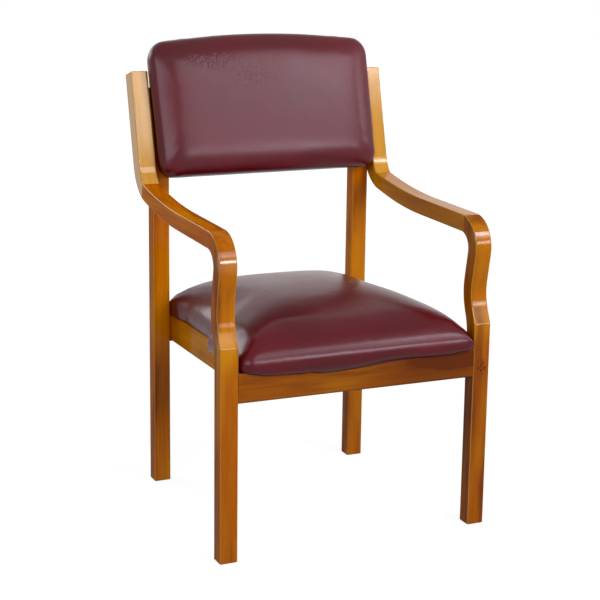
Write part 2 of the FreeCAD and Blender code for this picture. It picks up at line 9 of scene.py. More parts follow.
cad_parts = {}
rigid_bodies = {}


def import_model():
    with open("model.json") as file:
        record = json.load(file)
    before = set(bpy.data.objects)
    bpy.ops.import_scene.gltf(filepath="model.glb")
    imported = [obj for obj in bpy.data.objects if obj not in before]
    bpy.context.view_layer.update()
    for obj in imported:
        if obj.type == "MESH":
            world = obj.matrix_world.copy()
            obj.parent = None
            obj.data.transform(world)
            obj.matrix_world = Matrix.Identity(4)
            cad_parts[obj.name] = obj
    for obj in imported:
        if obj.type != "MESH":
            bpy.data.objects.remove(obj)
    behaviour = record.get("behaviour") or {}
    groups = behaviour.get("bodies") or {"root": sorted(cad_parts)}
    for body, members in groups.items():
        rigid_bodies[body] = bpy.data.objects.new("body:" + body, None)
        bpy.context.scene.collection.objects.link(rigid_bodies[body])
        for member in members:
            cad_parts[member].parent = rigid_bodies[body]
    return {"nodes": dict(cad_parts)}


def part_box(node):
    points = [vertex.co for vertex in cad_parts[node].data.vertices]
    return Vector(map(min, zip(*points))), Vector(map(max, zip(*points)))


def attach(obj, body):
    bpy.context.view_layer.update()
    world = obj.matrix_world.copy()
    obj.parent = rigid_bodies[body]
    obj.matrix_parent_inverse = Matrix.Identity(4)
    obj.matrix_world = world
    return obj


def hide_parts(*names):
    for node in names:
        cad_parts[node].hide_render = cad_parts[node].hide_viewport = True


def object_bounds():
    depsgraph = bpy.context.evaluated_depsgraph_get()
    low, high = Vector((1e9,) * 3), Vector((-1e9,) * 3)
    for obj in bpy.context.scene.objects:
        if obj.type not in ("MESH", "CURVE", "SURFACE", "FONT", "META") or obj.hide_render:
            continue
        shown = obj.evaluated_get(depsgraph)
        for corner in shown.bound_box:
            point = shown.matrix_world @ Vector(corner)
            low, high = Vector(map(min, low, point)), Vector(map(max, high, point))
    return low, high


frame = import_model()
nodes = frame["nodes"]
cad_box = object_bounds()

# Sizes of the chair that the dressing follows, in metres
seat_overhang = 0.014
frame_front = cad_box[0][1] + seat_overhang
rail_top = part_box("front_rail")[1][2]
back_lean = math.radians(14.7)
post_depth = 0.042
post_top_rear, post_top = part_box("back_post_left")[1][1:]
post_front_top = Vector((0.0, post_top_rear - post_depth * math.cos(back_lean), post_top))

# Directions on the chair
upright = Vector((0.0, 0.0, 1.0))
sideways = Vector((1.0, 0.0, 0.0))
fore_and_aft = Vector((0.0, 1.0, 0.0))
across_a_corner = Vector((0.7071, 0.7071, 0.0))
leaning = Vector((0.0, math.sin(back_lean), math.cos(back_lean)))
back_outwards = Vector((0.0, -math.cos(back_lean), math.sin(back_lean)))

# Camera, placed and turned as the photograph was taken
camera_place = Vector((-1.3041, -2.8699, 1.1726))
camera_yaw = math.radians(25.09)
camera_pitch = math.radians(12.10)
camera_roll = math.radians(0.95)
camera_lens = 90.06
camera_sensor = 36.0
camera_shift_across = -0.0338
camera_shift_up = -0.0342

# Light: levels of the room for matt surfaces and for the eye, and lamps with their place, aim, width,
# height and watts
room_level = 0.16
seen_level = 1.0
lamps = {
    "wide_window": ((1.26, -2.72, 2.60), (0.0, 0.0, 0.80), 2.4, 1.1, 36.0),
    "low_softbox": ((1.15, -2.55, 1.12), (0.0, -0.2, 0.50), 1.3, 0.36, 25.0),
    "near_softbox": ((1.30, -1.45, 1.90), (0.28, -0.29, 0.62), 0.45, 0.35, 6.0),
    "left_window": ((-1.95, -2.20, 1.75), (0.0, 0.0, 0.85), 1.9, 1.0, 30.0),
    "right_softbox": ((2.74, -1.22, 1.9), (0.0, 0.0, 0.85), 0.6, 1.2, 16.0),
    "back_window": ((-1.9, 2.5, 2.0), (0.0, 0.0, 0.70), 2.2, 1.4, 40.0),
}

# Floor: its size, and how its glow rises to the room's white with the distance from the chair
floor_size = 30.0
floor_glow = 0.90
floor_glow_rise = 0.12
floor_glow_distances = (0.5, 6.0)


def clear_selection():
    """Leaves nothing selected, so that an operator acts on the new piece alone."""
    if bpy.context.object and bpy.context.object.mode != "OBJECT":
        bpy.ops.object.mode_set(mode="OBJECT")
    for piece in bpy.data.objects:
        piece.select_set(False)


def pick(piece):
    """Makes one piece the only selected and active one."""
    clear_selection()
    piece.select_set(True)
    bpy.context.view_layer.objects.active = piece


def tint(red, green, blue):
    """Colour of a painted sample, each part from 0 to 255, as the renderer's linear values."""
    return tuple((part / 255) ** 2.2 for part in (red, green, blue)) + (1.0,)


# Finishes


class Value:
    """A number or colour in a finish, with arithmetic that adds the nodes for it."""

    def __init__(self, tree, socket):
        self.tree = tree
        self.socket = socket

    def maths(self, operation, *values):
        return self.tree.node("ShaderNodeMath", {"operation": operation}, dict(enumerate(values)))

    def __add__(self, other):
        return self.maths("ADD", self, other)

    def __radd__(self, other):
        return self.maths("ADD", other, self)

    def __sub__(self, other):
        return self.maths("SUBTRACT", self, other)

    def __rsub__(self, other):
        return self.maths("SUBTRACT", other, self)

    def __mul__(self, other):
        return self.maths("MULTIPLY", self, other)

    def __rmul__(self, other):
        return self.maths("MULTIPLY", other, self)

    def root(self):
        return self.maths("SQRT", self)

    def sine(self):
        return self.maths("SINE", self)

    def step(self, low, high):
        """0 below low, 1 above high, and smooth between them."""
        ends = {"Value": self, "From Min": low, "From Max": high}
        return self.tree.node("ShaderNodeMapRange", {"interpolation_type": "SMOOTHSTEP"}, ends)

    def ramp(self, *stops):
        """Colour that this number picks from a row of places and colours."""
        return self.tree.node("ShaderNodeValToRGB", {"stops": stops}, {0: self})


class Tree:
    """The nodes of a finish or of the room, which one method adds."""

    def __init__(self, tree):
        self.nodes = tree.nodes
        self.links = tree.links

    def node(self, kind, settings, values, output=0):
        """Adds one node: its settings first, then the values or links of its inputs."""
        made = self.nodes.new(kind)
        for name, setting in settings.items():
            if name == "stops":
                self.set_stops(made.color_ramp, setting)
            else:
                setattr(made, name, setting)
        for name, value in values.items():
            self.fill(made.inputs[name], value)
        return Value(self, made.outputs[output])

    def fill(self, socket, value):
        """Links a value to an input, or writes a plain number or colour on it."""
        if isinstance(value, Value):
            self.links.new(value.socket, socket)
        else:
            socket.default_value = value

    def set_stops(self, ramp, stops):
        while len(ramp.elements) < len(stops):
            ramp.elements.new(0.5)
        for element, (position, colour) in zip(ramp.elements, stops):
            element.position = position
            element.color = colour

    def outputs(self, value):
        """All outputs of the node that a value comes from."""
        return [Value(self, output) for output in value.socket.node.outputs]

    def seen(self):
        """1 on the camera's, mirrored and transmitted rays, and 0 on those that light matt surfaces."""
        rays = self.node("ShaderNodeLightPath", {}, {}).socket.node.outputs
        names = ("Is Camera Ray", "Is Glossy Ray", "Is Transmission Ray")
        by_eye, mirrored, through = [Value(self, rays[name]) for name in names]
        return by_eye + mirrored + through


class Finish(Tree):
    """A material, built node by node round one shader."""

    def __init__(self, name):
        self.material = bpy.data.materials.new(name)
        self.material.use_nodes = True
        super().__init__(self.material.node_tree)
        self.shader = self.nodes["Principled BSDF"]

    def here(self):
        """Position on the chair."""
        return self.node("ShaderNodeTexCoord", {}, {}, "Object")

    def place(self, along=upright, start=Vector((0.0, 0.0, 0.0))):
        """Position on the chair, turned so that its last part runs along a direction from a start."""
        turn = along.rotation_difference(upright)
        shift = -(turn.to_matrix() @ start)
        values = {"Vector": self.here(), "Location": shift, "Rotation": turn.to_euler()}
        return self.node("ShaderNodeMapping", {}, values)

    def stretch(self, place, across, along):
        """Place scaled across and along the grain."""
        values = {0: place, 1: (across, across, along)}
        return self.node("ShaderNodeVectorMath", {"operation": "MULTIPLY"}, values)

    def noise(self, place, scale, detail=2.0, roughness=0.5, distortion=0.0):
        values = {
            "Vector": place,
            "Scale": scale,
            "Detail": detail,
            "Roughness": roughness,
            "Distortion": distortion,
        }
        return self.node("ShaderNodeTexNoise", {}, values)

    def parts(self, place):
        """The three parts of a place."""
        return self.outputs(self.node("ShaderNodeSeparateXYZ", {}, {0: place}))

    def mix(self, share, first, second, blend="MIX"):
        """First colour, with a share of the second over it."""
        settings = {"data_type": "RGBA", "blend_type": blend}
        return self.node("ShaderNodeMix", settings, {0: share, 6: first, 7: second}, 2)

    def near(self, centre, reach):
        """1 at a centre, fading to 0 at a reach, with another reach on each axis."""
        offset = self.node("ShaderNodeVectorMath", {"operation": "SUBTRACT"}, {0: self.here(), 1: centre})
        share = self.node("ShaderNodeVectorMath", {"operation": "DIVIDE"}, {0: offset, 1: reach})
        far = self.node("ShaderNodeVectorMath", {"operation": "LENGTH"}, {0: share}, "Value")
        return 1.0 - far.step(0.0, 1.0)

    def bump(self, height, depth):
        """Relief of a height, whose full step is a depth in metres."""
        values = {"Height": height, "Distance": depth, "Strength": 1.0}
        return self.node("ShaderNodeBump", {}, values)

    def set(self, **values):
        """Sets the shader's sockets, whose names are written with underscores."""
        for name, value in values.items():
            self.fill(self.shader.inputs[name.replace("_", " ")], value)
        return self.material


# Wood: year rings to the metre, how far they wander and how a knot bends them
rings_to_the_metre = 70.0
ring_wander = 0.07
knot_bend = 0.016


def lacquered_wood(
    name, along, heart, light=1.0, red=0.0, honey=0.0, gloss=0.13, top_gloss=0.0,
    spots=(), painted_shadows=(), runs=(), knots=(),
):
    """Amber stained wood under clear lacquer, its grain along a direction round a heart line."""
    finish = Finish(name)
    place = finish.place(along, heart)
    drift = finish.noise(finish.stretch(place, 7.0, 1.1), 1.0, 2.0)
    wave = finish.noise(finish.stretch(place, 16.0, 2.4), 1.0, 3.0)

    # Year rings round the heart, bent round each knot
    across, deep, _ = finish.parts(place)
    year = (across * across + deep * deep).root() + (wave - 0.5) * ring_wander
    swirl = 0.0
    for centre, reach in knots:
        swirl = finish.near(centre, reach) + swirl
        year = year + swirl * knot_bend
    ring = (year * (rings_to_the_metre * math.tau)).sine() * 0.5 + 0.5

    # Fibres, streaks and pores, and the amber stain that they take up
    fibre = finish.noise(finish.stretch(place, 800.0, 12.0), 1.0, 3.0, 0.6)
    streak = finish.noise(finish.stretch(place, 85.0, 2.2), 1.0, 4.0, 0.62).step(0.44, 0.80)
    pore = finish.noise(finish.stretch(place, 1300.0, 50.0), 1.0, 1.0).step(0.64, 0.74)
    figure = 0.18 * ring * ring + 0.50 * streak + 0.22 * fibre.step(0.25, 0.75) + 0.12 * pore
    shade = figure * (0.30 + drift * 1.1)
    pale = tint(188 + 4 * red, 104 - 9 * red, 5)
    amber = tint(168 + 4 * red, 86 - 8 * red, 3)
    dark = tint(116 + 6 * red, 52 - 6 * red, 2)
    stain = shade.ramp((0.0, pale), (0.35, amber), (1.0, dark))

    # Clouds of random gold and dark tone, with painted highlights added at some places of a piece and
    # painted shadows at others
    cloud = finish.noise(finish.stretch(place, 10.0, 2.4), 1.0, 2.0)
    golden_and_painted_highlight = cloud.step(0.44, 0.66) * 0.60
    # Painted highlights make the stain paler gold at the places given
    for centre, reach, share in spots:
        golden_and_painted_highlight = golden_and_painted_highlight + finish.near(centre, reach) * share
    stain = finish.mix(golden_and_painted_highlight, stain, tint(204, 130, 12))
    dusk = finish.noise(finish.stretch(place, 24.0, 4.0), 1.0, 3.0)
    dusky_and_painted_shadow = dusk.step(0.48, 0.68) * 0.62
    # Painted shadows darken the stain at the places given
    for centre, reach, share in painted_shadows:
        dusky_and_painted_shadow = dusky_and_painted_shadow + finish.near(centre, reach) * share
    stain = finish.mix(dusky_and_painted_shadow, stain, tint(116, 52, 3))
    if honey:
        stain = finish.mix(honey * (1.0 - 0.5 * shade), stain, tint(224, 166, 34))

    # Dark broken loops in a knot
    if knots:
        cell = finish.node("ShaderNodeTexVoronoi", {}, {"Vector": place, "Scale": 120.0, "Randomness": 0.9})
        loop = cell.step(0.16, 0.24) * (1.0 - cell.step(0.36, 0.44))
        stain = finish.mix(swirl.step(0.20, 0.5) * loop * 0.85, stain, tint(92, 26, 4))
        stain = finish.mix(swirl * 0.35, stain, tint(120, 50, 4))

    # Pieces differ in how light they are
    stain = finish.mix(1.0, stain, (light, light, light, 1.0), "MULTIPLY")

    # Rounded edges, which face half sideways, get a pale painted highlight in their colour and shine more
    ripple = finish.noise(finish.stretch(place, 60.0, 22.0), 1.0, 2.0)
    relief = ripple * 0.7 + ring * 0.10 + fibre * 0.10
    facing = finish.parts(finish.node("ShaderNodeTexCoord", {}, {}, "Normal"))
    sideward = facing[0] * facing[0]
    painted_highlight_edge = (sideward * (1.0 - sideward) * 4.0).step(0.30, 0.95)
    stain = finish.mix(painted_highlight_edge * 0.50, stain, tint(222, 158, 46))
    shine = gloss * (0.8 + drift * 0.4) + painted_highlight_edge * 0.35
    if top_gloss:
        shine = shine + facing[2].step(0.6, 0.9) * top_gloss
    for centre, reach, share in runs:
        shine = shine + finish.near(centre, reach) * share
    return finish.set(
        Base_Color=stain,
        Roughness=0.42 + (1.0 - figure) * 0.12,
        Coat_Weight=shine,
        Normal=finish.bump(relief, 0.00020),
        Coat_Roughness=0.11,
        Coat_IOR=1.6,
        Specular_IOR_Level=0.0,
    )


def plain_beech(name, along):
    """Bare pale beech, as dowels and glue blocks are left."""
    finish = Finish(name)
    place = finish.place(along)
    fibre = finish.noise(finish.stretch(place, 700.0, 20.0), 1.0, 3.0)
    fleck = finish.noise(finish.stretch(place, 900.0, 160.0), 1.0, 1.0).step(0.6, 0.7)
    colour = (fibre * 0.8 + fleck * 0.25).ramp((0.25, tint(205, 168, 118)), (0.75, tint(168, 124, 78)))
    relief = finish.bump(fibre + fleck, 0.0002)
    return finish.set(Base_Color=colour, Roughness=0.62 + fibre * 0.2, Normal=relief, Specular_IOR_Level=0.3)


def plywood():
    """Board of thin layers, pale on its faces and striped at its edges."""
    layer_thickness = 0.0018
    shade_to_the_metre = 550.0
    finish = Finish("board_plywood")
    place = finish.place()
    height = finish.parts(place)[2]
    layer = height.maths("PINGPONG", height, layer_thickness) * shade_to_the_metre
    fibre = finish.noise(finish.stretch(place, 300.0, 12.0), 1.0, 3.0)
    colour = (layer * 0.5 + fibre * 0.5).ramp((0.2, tint(198, 164, 116)), (0.8, tint(146, 106, 66)))
    return finish.set(Base_Color=colour, Roughness=0.75 + fibre * 0.15, Normal=finish.bump(fibre, 0.0003))


def burgundy_vinyl(name, sheen=0.26, smoothness=0.22, creases=()):
    """Smooth burgundy upholstery vinyl, faintly grained, with soft dents and small creases."""
    finish = Finish(name)
    place = finish.place()
    dent = finish.noise(place, 16.0, 2.0)
    slack = finish.noise(place, 46.0, 2.0)
    pebble_values = {"Vector": place, "Scale": 950.0}
    pebble = finish.node("ShaderNodeTexVoronoi", {"feature": "SMOOTH_F1"}, pebble_values)
    crease = finish.noise(finish.stretch(place, 120.0, 70.0), 1.0, 3.0, 0.6, 1.2)
    wear = finish.noise(place, 7.0, 3.0)
    relief = dent * 0.45 + slack * 0.12 + pebble * 0.012
    for centre, reach, depth in creases:
        fold = finish.near(centre, reach) * crease.step(0.44, 0.60) * depth
        relief = relief + fold
    colour = wear.ramp((0.3, tint(78, 9, 17)), (0.7, tint(90, 13, 23)))
    speck = finish.noise(place, 420.0, 1.0).step(0.66, 0.76)
    colour = finish.mix(speck * 0.18, colour, tint(130, 60, 66))
    rubbed = smoothness + wear.step(0.35, 0.7) * 0.06 + pebble * 0.03
    return finish.set(
        Base_Color=colour,
        Roughness=rubbed,
        Normal=finish.bump(relief, 0.0012),
        Specular_IOR_Level=sheen,
        Specular_Tint=(0.97, 0.86, 1.0, 1.0),
    )


def black_cloth():
    """Thin non-woven cloth under the seat."""
    finish = Finish("underlining_black_cloth")
    place = finish.place()
    fleece = finish.noise(place, 900.0, 2.0)
    dimple = finish.node("ShaderNodeTexVoronoi", {}, {"Vector": place, "Scale": 420.0})
    colour = fleece.ramp((0.3, tint(20, 20, 21)), (0.7, tint(46, 45, 46)))
    return finish.set(Base_Color=colour, Roughness=0.85 + fleece * 0.1, Normal=finish.bump(dimple, 0.0006))


def plated_metal(name, bright, dull, shine):
    """Bright plated metal with fine turning marks and dull spots."""
    finish = Finish(name)
    place = finish.place()
    spot = finish.noise(place, 300.0, 3.0)
    mark = finish.noise(finish.stretch(place, 2200.0, 300.0), 1.0, 2.0)
    colour = finish.mix(spot.step(0.45, 0.7), bright, dull)
    relief = finish.bump(mark, 0.00005)
    return finish.set(Base_Color=colour, Metallic=1.0, Roughness=shine + spot * 0.2, Normal=relief)


# Places on the frame with a look of their own: lacquer that shines more at the elbows and knees, painted
# highlights on the knees, a knot, and a painted shadow on the front rail. Each has a centre and a reach on
# each axis, and all but the knot have a share of what they add.
right_leg_knot = (Vector((0.280, frame_front, 0.344)), Vector((0.019, 0.02, 0.028)))
left_elbow = (Vector((-0.281, frame_front, 0.607)), Vector((0.06, 0.03, 0.034)), 1.0)
right_elbow = (Vector((0.281, frame_front, 0.627)), Vector((0.06, 0.03, 0.030)), 1.0)
left_knee = (Vector((-0.281, frame_front, 0.452)), Vector((0.06, 0.04, 0.032)), 0.40)
right_knee = (Vector((0.281, frame_front, 0.458)), Vector((0.06, 0.04, 0.032)), 1.0)
# Painted highlights: paler gold put into the colour of the knees, whose faces tilt up to the light
left_knee_painted_highlight = (Vector((-0.281, frame_front, 0.44)), Vector((0.06, 0.05, 0.06)), 0.9)
right_knee_painted_highlight = (Vector((0.281, frame_front, 0.45)), Vector((0.06, 0.05, 0.07)), 1.0)
# Painted shadow: a darker stain over the right part of the front rail, under the seat
rail_painted_shadow = (Vector((0.16, frame_front, 0.355)), Vector((0.24, 0.06, 0.10)), 0.75)

wood_pieces = {
    "front_leg_left": {
        "along": upright, "heart": Vector((-0.21, -0.12, 0.0)), "light": 0.97,
        "spots": (left_knee_painted_highlight,), "runs": (left_elbow, left_knee),
    },
    "front_leg_right": {
        "along": upright, "heart": Vector((0.37, -0.15, 0.3)), "light": 0.84,
        "spots": (right_knee_painted_highlight,), "runs": (right_elbow, right_knee), "knots": (right_leg_knot,),
    },
    "rear_leg_left": {"along": upright, "heart": Vector((-0.16, 0.34, 0.1)), "light": 1.08},
    "rear_leg_right": {"along": upright, "heart": Vector((0.33, 0.33, 0.2)), "light": 1.10},
    "armrest_left": {
        "along": fore_and_aft, "heart": Vector((-0.22, 0.0, 0.57)), "light": 1.25, "gloss": 0.12,
        "red": 0.1,
    },
    "armrest_right": {
        "along": fore_and_aft, "heart": Vector((0.34, 0.1, 0.60)), "light": 1.20, "gloss": 0.12,
        "honey": 0.3, "top_gloss": 0.6,
    },
    "back_post_left": {
        "along": leaning, "heart": Vector((-0.37, 0.30, 0.8)), "honey": 0.7, "gloss": 0.85,
    },
    "back_post_right": {
        "along": leaning, "heart": Vector((0.35, 0.31, 0.8)), "honey": 0.6, "gloss": 0.60,
    },
    "front_rail": {
        "along": sideways, "heart": Vector((0.0, -0.21, 0.31)), "light": 0.70, "painted_shadows": (rail_painted_shadow,),
    },
    "rear_rail": {"along": sideways, "heart": Vector((0.1, 0.30, 0.29)), "light": 0.95},
    "side_rail_left": {
        "along": fore_and_aft, "heart": Vector((-0.16, 0.0, 0.42)), "light": 1.10, "honey": 0.2,
    },
    "side_rail_right": {"along": fore_and_aft, "heart": Vector((0.17, 0.1, 0.40)), "light": 0.97},
}

beech_pieces = {
    "arm_front_dowels": fore_and_aft,
    "arm_rear_dowels": fore_and_aft,
    "front_rail_dowels": sideways,
    "rear_rail_dowels": sideways,
    "side_rail_dowels": fore_and_aft,
    "corner_blocks": across_a_corner,
}


def give(finish, *pieces):
    """Gives pieces of the frame a finish."""
    for piece in pieces:
        nodes[piece].material_slots[0].material = finish


def finish_frame():
    """Gives each wooden and metal piece of the frame, the boards, the cloth and the panel their finish."""
    for piece, grain in wood_pieces.items():
        give(lacquered_wood(piece + "_lacquered", **grain), piece)
    for piece, along in beech_pieces.items():
        give(plain_beech(piece + "_beech", along), piece)
    give(plywood(), "seat_board", "back_board")
    give(black_cloth(), "seat_underlining")
    zinc = plated_metal("zinc_plate", tint(205, 206, 204), tint(150, 150, 152), 0.22)
    give(zinc, "corner_block_screws", "seat_screws", "back_screws", "frame_bolts")
    brass = plated_metal("turned_brass", tint(214, 178, 108), tint(160, 124, 66), 0.25)
    give(brass, "frame_inserts")
    give(burgundy_vinyl("panel_vinyl"), "back_panel")


# Cushions: how air and their covers fill them out. Lengths are in metres.
seat_remesh_size = 0.0065
back_remesh_size = 0.0060
swell_pressure = 4.0
swell_frames = 20
swell_quality = 3
swell_reach = 0.0020
foam_inset = 0.0012
foam_fill = 1.2
stand_proud = 0.0025
draw_reach = 0.006


def solid_copy(name, sources):
    """One mesh with the outer shape of several pieces that touch."""
    form = bmesh.new()
    for source in sources:
        form.from_mesh(nodes[source].data)
    bmesh.ops.remove_doubles(form, verts=form.verts, dist=0.00001)
    mesh = bpy.data.meshes.new(name)
    form.to_mesh(mesh)
    form.free()
    piece = bpy.data.objects.new(name, mesh)
    bpy.context.scene.collection.objects.link(piece)
    return piece


def apply_modifier(piece, kind, **settings):
    """Adds a modifier to a piece with its settings and applies it."""
    pick(piece)
    modifier = piece.modifiers.new(kind.lower(), kind)
    for name, value in settings.items():
        setattr(modifier, name, value)
    bpy.ops.object.modifier_apply(modifier=modifier.name)


def even_out(piece, passes, part="", factor=0.5):
    """Evens out a piece, or the part of it that a vertex group holds."""
    apply_modifier(piece, "SMOOTH", factor=factor, iterations=passes, vertex_group=part)


def smoothstep(value, low, high):
    """0 below low, 1 above high, and smooth between them."""
    share = min(max((value - low) / (high - low), 0.0), 1.0)
    return share * share * (3.0 - 2.0 * share)


def weigh(piece, name, weight):
    """Vertex group whose weights a function of each point's place gives."""
    group = piece.vertex_groups.new(name=name)
    for vertex in piece.data.vertices:
        share = weight(vertex.co)
        if share > 0.0:
            group.add([vertex.index], share, "REPLACE")
    return group.name


def swell(piece, held):
    """Lets air pressure fill out a cushion, with the held points fixed and the others kept close."""
    start = [vertex.co.copy() for vertex in piece.data.vertices]
    cloth = piece.modifiers.new("swell", "CLOTH")
    cloth.settings.use_pressure = True
    cloth.settings.uniform_pressure_force = swell_pressure
    cloth.settings.effector_weights.gravity = 0.0
    cloth.settings.vertex_group_mass = weigh(piece, "held", held)
    cloth.settings.quality = swell_quality
    cloth.collision_settings.use_collision = False
    cloth.point_cache.frame_start = 1
    cloth.point_cache.frame_end = swell_frames
    for step in range(1, swell_frames + 1):
        bpy.context.scene.frame_set(step)
    view = piece.evaluated_get(bpy.context.evaluated_depsgraph_get())
    ends = [vertex.co.copy() for vertex in view.data.vertices]
    piece.modifiers.remove(cloth)
    for vertex, begin, end in zip(piece.data.vertices, start, ends):
        move = end - begin
        if move.length > swell_reach:
            move = move.normalized() * swell_reach
        vertex.co = begin + move
    bpy.context.scene.frame_set(1)


def draw_on(piece, cover, drawn):
    """Draws the weighted points of a cushion out to its cover's own outline."""
    normals = [vertex.normal.copy() for vertex in piece.data.vertices]
    for vertex, normal in zip(piece.data.vertices, normals):
        share = drawn(vertex.co)
        found, place, _, _ = cover.closest_point_on_mesh(vertex.co + normal * stand_proud)
        move = place - vertex.co
        if found and move.length < draw_reach:
            vertex.co += move * share
        else:
            vertex.co += normal * (foam_fill * foam_inset * share)


def stuffed(name, sources, cover, voxel, held, crowned, crown_passes, evened=None, even_passes=0):
    """A cushion filled out by air from the shape of its foam and board, its crown drawn smooth."""
    piece = solid_copy(name, sources)
    pick(piece)
    piece.data.remesh_voxel_size = voxel
    bpy.ops.object.voxel_remesh()
    even_out(piece, 2)
    crown = weigh(piece, "crown", crowned)
    even_out(piece, crown_passes, crown)
    if evened:
        even_out(piece, even_passes, weigh(piece, "even", evened), 0.7)
    swell(piece, held)
    even_out(piece, 8, crown)
    draw_on(piece, nodes[cover], lambda point: 1.0 - crowned(point))
    even_out(piece, 1)
    piece.vertex_groups.clear()
    apply_modifier(piece, "SUBSURF", levels=1, render_levels=1)
    pick(piece)
    bpy.ops.object.shade_smooth()
    return piece


# Seat cushion, with places and lengths in metres. A pair of numbers gives where a change starts and where it
# is complete.
seat_board_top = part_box("seat_board")[1][2]
seat_held_top = rail_top + 0.006
seat_crown_heights = (seat_board_top + 0.008, seat_board_top + 0.036)
seat_step_heights = (seat_board_top + 0.012, seat_board_top + 0.035)
seat_crown_passes = 40
seat_step_passes = 90

# Where the seat's plan steps from wide to narrow
step_front = (-0.19, -0.12)
step_rear = (0.0, 0.07)
step_places = (0.09, 0.16)

# The lip, which rolls under at the front, hangs over the rail and leans back above it
lip_ramp = (0.000, 0.010)
lip_heights = (rail_top - 0.012, rail_top + 0.035)
lip_hang = 0.010
lip_hang_place = 0.11
lip_hang_reach = (0.06, 0.20)
lip_drop_right = 0.005
lip_drop_places = (0.08, 0.20)
lip_widest = 0.402
lip_roll = 0.028
lip_roll_share = 0.97
lip_clearance = 0.0004
lip_slope = 0.24
lip_slope_start = 0.398

# The corner beside the right front leg, and the sides between the rear legs, which bulge out
corner_bulge = 0.015
corner_places = (0.225, 0.258)
corner_heights = (0.43, 0.47)
rear_fill = 0.010
rear_widest = 0.2236
rear_depths = (0.13, 0.225)
rear_places = (0.14, 0.20)
rear_heights = (0.425, 0.462)
rear_edge_depths = (0.20, 0.24)

# The dome of the seat, the fit of one smooth form through it, and the last smoothing
seat_dome = 0.005
seat_dome_half_width = 0.22
seat_dome_half_depth = 0.24
seat_dome_middle = -0.04
seat_dome_heights = (0.44, 0.48)
dome_slopes = (0.80, 0.96)
dome_scale = 0.25
dome_share = 0.85
final_crown_heights = (0.425, 0.46)
final_step_heights = (0.395, 0.42)
final_crown_passes = 40
final_lip_heights = (rail_top, rail_top + 0.03)
final_lip_depths = (frame_front - 0.002, frame_front + 0.004)
final_lip_passes = 12

# The underside, which lies on the rails and against the cloth
underside_height = rail_top + 0.003
lip_rear = frame_front + 0.006
cloth_gap = 0.0003
rail_gap = 0.0002


def step_in_width(point):
    """Share of the places where the seat's plan steps from wide to narrow."""
    along = smoothstep(point.y, *step_front) * (1.0 - smoothstep(point.y, *step_rear))
    return along * smoothstep(abs(point.x), *step_places)


def hang_lip(point, proud, front):
    """Rolls the seat's lip under, lowers it over the front rail and leans it back from its foot."""
    lowness = 1.0 - smoothstep(point.z, *lip_heights)
    hang = 1.0 - smoothstep(abs(point.x + lip_hang_place), *lip_hang_reach)
    drop = lip_hang * hang + lip_drop_right * smoothstep(point.x, *lip_drop_places)
    depth = min(max(lip_widest - point.z, 0.0), lip_roll * lip_roll_share)
    point.z -= drop * proud * lowness
    point.y += (lip_roll - math.sqrt(lip_roll ** 2 - depth ** 2)) * proud
    if proud > 0.0:
        point.y = min(point.y, frame_front - lip_clearance)
    point.y = max(point.y, front + lip_slope * (point.z - lip_slope_start))


def bulge_corner(point, proud):
    """Widens the seat's low front corner beside the right leg."""
    corner = smoothstep(point.x, *corner_places)
    point.x += corner_bulge * proud * corner * (1.0 - smoothstep(point.z, *corner_heights))


def fill_rear(point):
    """Widens the seat's low sides between the rear legs."""
    rear = smoothstep(point.y, *rear_depths) * smoothstep(abs(point.x), *rear_places)
    filled = rear_fill * rear * (1.0 - smoothstep(point.z, *rear_heights))
    point.x = math.copysign(min(abs(point.x) + filled, max(abs(point.x), rear_widest)), point.x)
    point.y += filled * 0.5 * smoothstep(point.y, *rear_edge_depths)


def raise_dome(point):
    """Raises the middle of the seat's crown."""
    across = max(1.0 - (point.x / seat_dome_half_width) ** 2, 0.0)
    deep = max(1.0 - ((point.y - seat_dome_middle) / seat_dome_half_depth) ** 2, 0.0)
    point.z += seat_dome * (across * deep) * smoothstep(point.z, *seat_dome_heights)


def draw_to_dome(piece):
    """Draws the top of a cushion towards one smooth dome that is fitted through it."""
    piece.data.update()
    shares = numpy.array([smoothstep(vertex.normal.z, *dome_slopes) for vertex in piece.data.vertices])
    places = numpy.array([list(vertex.co) for vertex in piece.data.vertices])
    across, deep = (places[:, 0] / dome_scale) ** 2, places[:, 1] / dome_scale
    terms = [deep ** 0, across, deep, deep ** 2, across * deep, deep ** 3, across ** 2, across * deep ** 2]
    table = numpy.stack(terms, axis=1)
    dome = table @ numpy.linalg.lstsq(table * shares[:, None], places[:, 2] * shares, rcond=None)[0]
    for vertex, share, height in zip(piece.data.vertices, shares, dome):
        vertex.co.z += (height - vertex.co.z) * share * dome_share


def final_crown(point):
    """Share by which a point of the seat belongs to its crown or to its step in width."""
    step = step_in_width(point) * smoothstep(point.z, *final_step_heights)
    return max(smoothstep(point.z, *final_crown_heights), step)


def final_lip(point):
    """Share by which a point of the seat belongs to the lower lip in front of the rail."""
    low = 1.0 - smoothstep(point.z, *final_lip_heights)
    return low * (1.0 - smoothstep(point.y, *final_lip_depths))


def lay_on_rails(piece):
    """Keeps the lip in front of the rail and flattens the underside over the rails and the cloth."""
    lining_low, lining_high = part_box("seat_underlining")
    for vertex in piece.data.vertices:
        point = vertex.co
        if point.z < rail_top and point.y < lip_rear:
            point.y = min(point.y, frame_front - lip_clearance)
        under_board = point.z < underside_height and point.y > frame_front
        if under_board and lining_low[1] < point.y < lining_high[1] and abs(point.x) < lining_high[0]:
            point.z = lining_high[2] + cloth_gap
        elif under_board:
            point.z = rail_top + rail_gap


